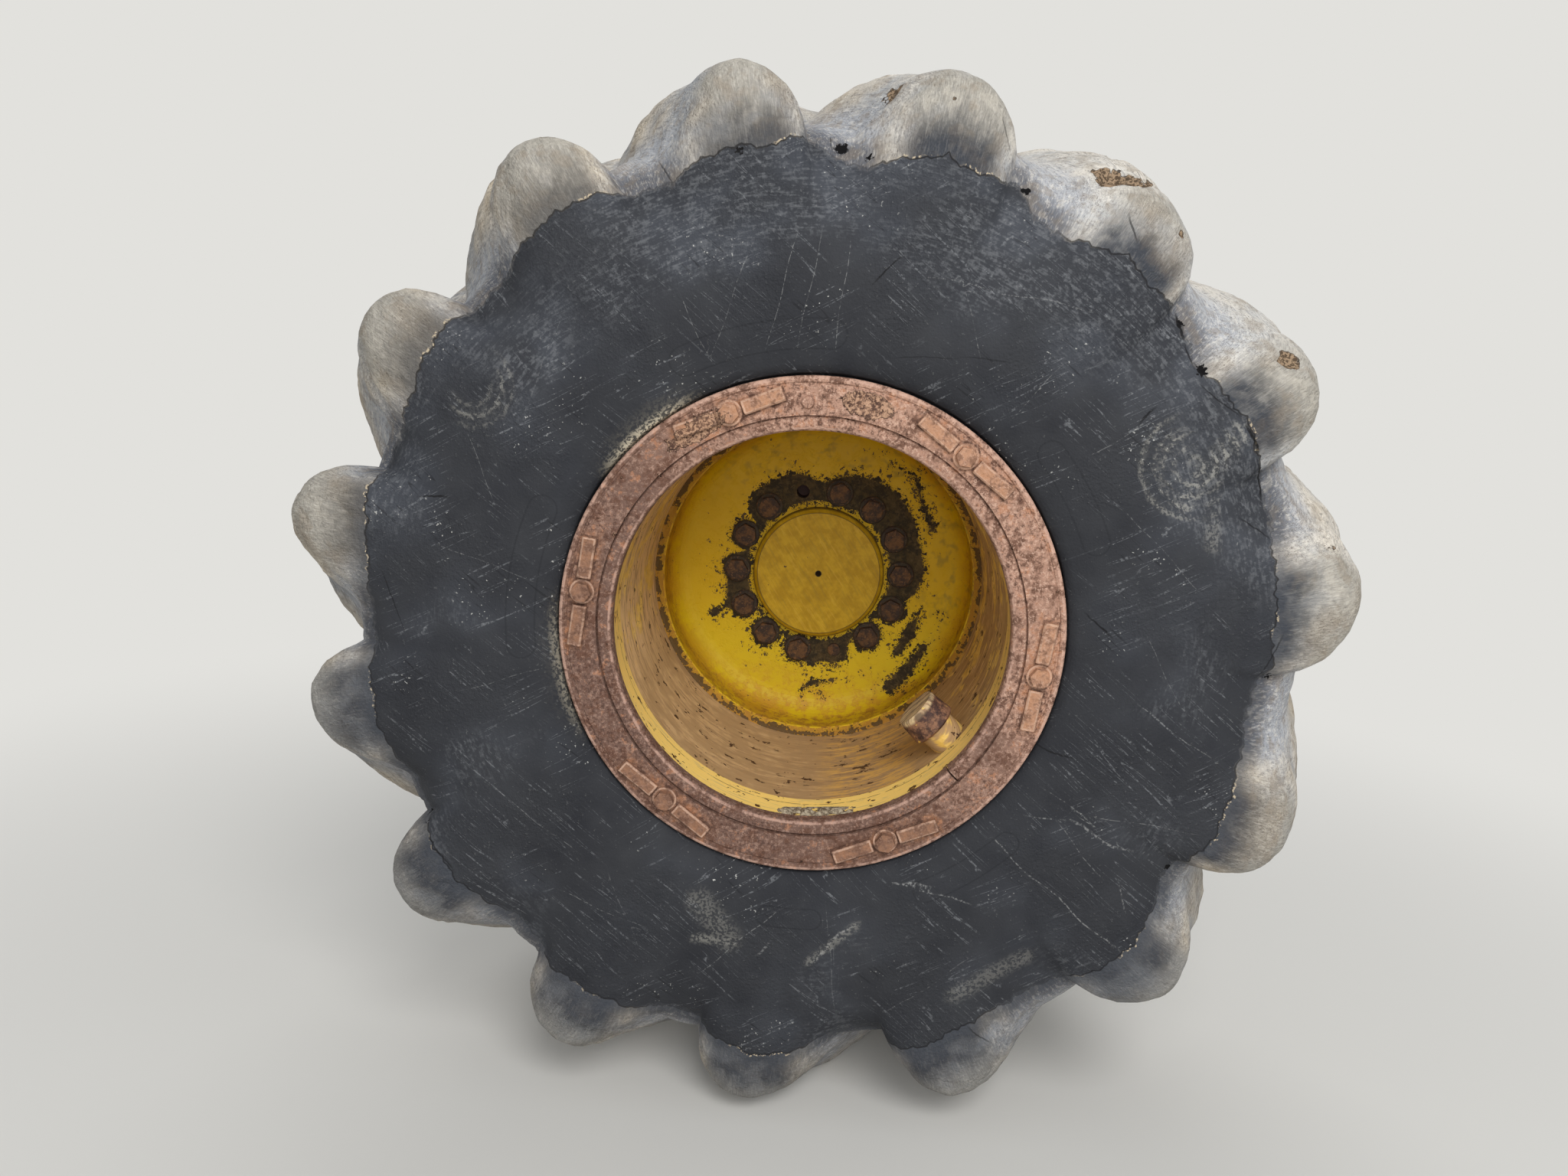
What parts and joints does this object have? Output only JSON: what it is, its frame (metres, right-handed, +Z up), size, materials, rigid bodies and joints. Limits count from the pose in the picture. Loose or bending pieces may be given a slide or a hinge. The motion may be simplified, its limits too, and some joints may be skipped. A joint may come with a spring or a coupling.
{
  "type": "log skidder drive wheel with its axle end",
  "caption": "Wide lugged forestry wheel with a deep dished rim, clamped side ring and bolted disc, turning freely on the flanged axle housing that carries it.",
  "frame": {"origin": "centre of the axle housing's mounting face", "axes": "+Y along the spin axis from the open face of the rim to the machine, +Z up, -X toward the front of the machine"},
  "size_m": [1.8878, 1.212, 1.8858],
  "materials": {
    "tyre_rubber": "worn black rubber, grey and dusty on the lugs",
    "rusty_ring": "rusted brown",
    "rim_paint": "worn yellow paint",
    "bolt_iron": "dark rusty iron",
    "axle_paint": "dusty black paint"
  },
  "bodies": {
    "axle": {"axle_housing": "axle_paint", "bearing_retainer": "axle_paint", "retainer_bolts": "bolt_iron", "housing_plug": "bolt_iron"},
    "wheel": {"tyre": "tyre_rubber", "side_ring": "rusty_ring", "clamp_bars": "rusty_ring", "clamp_bolts": "rusty_ring", "ring_plug": "rusty_ring", "lock_ring": "rusty_ring", "gutter_band": "rim_paint", "centre_band": "rim_paint", "back_section": "rim_paint", "wheel_disc": "rim_paint", "disc_weld": "rim_paint", "wheel_washers": "bolt_iron", "wheel_bolts": "bolt_iron", "broken_bolt": "bolt_iron", "valve_base": "rim_paint", "valve_cap": "bolt_iron", "wheel_hub": "rim_paint", "axle_shaft": "bolt_iron"}
  },
  "joints": [
    {"name": "wheel_spin", "type": "hinge", "parent": "axle", "child": "wheel", "pos_m": [0, -0.784, 0], "axis": [0, 1, 0], "continuous": true}
  ]
}
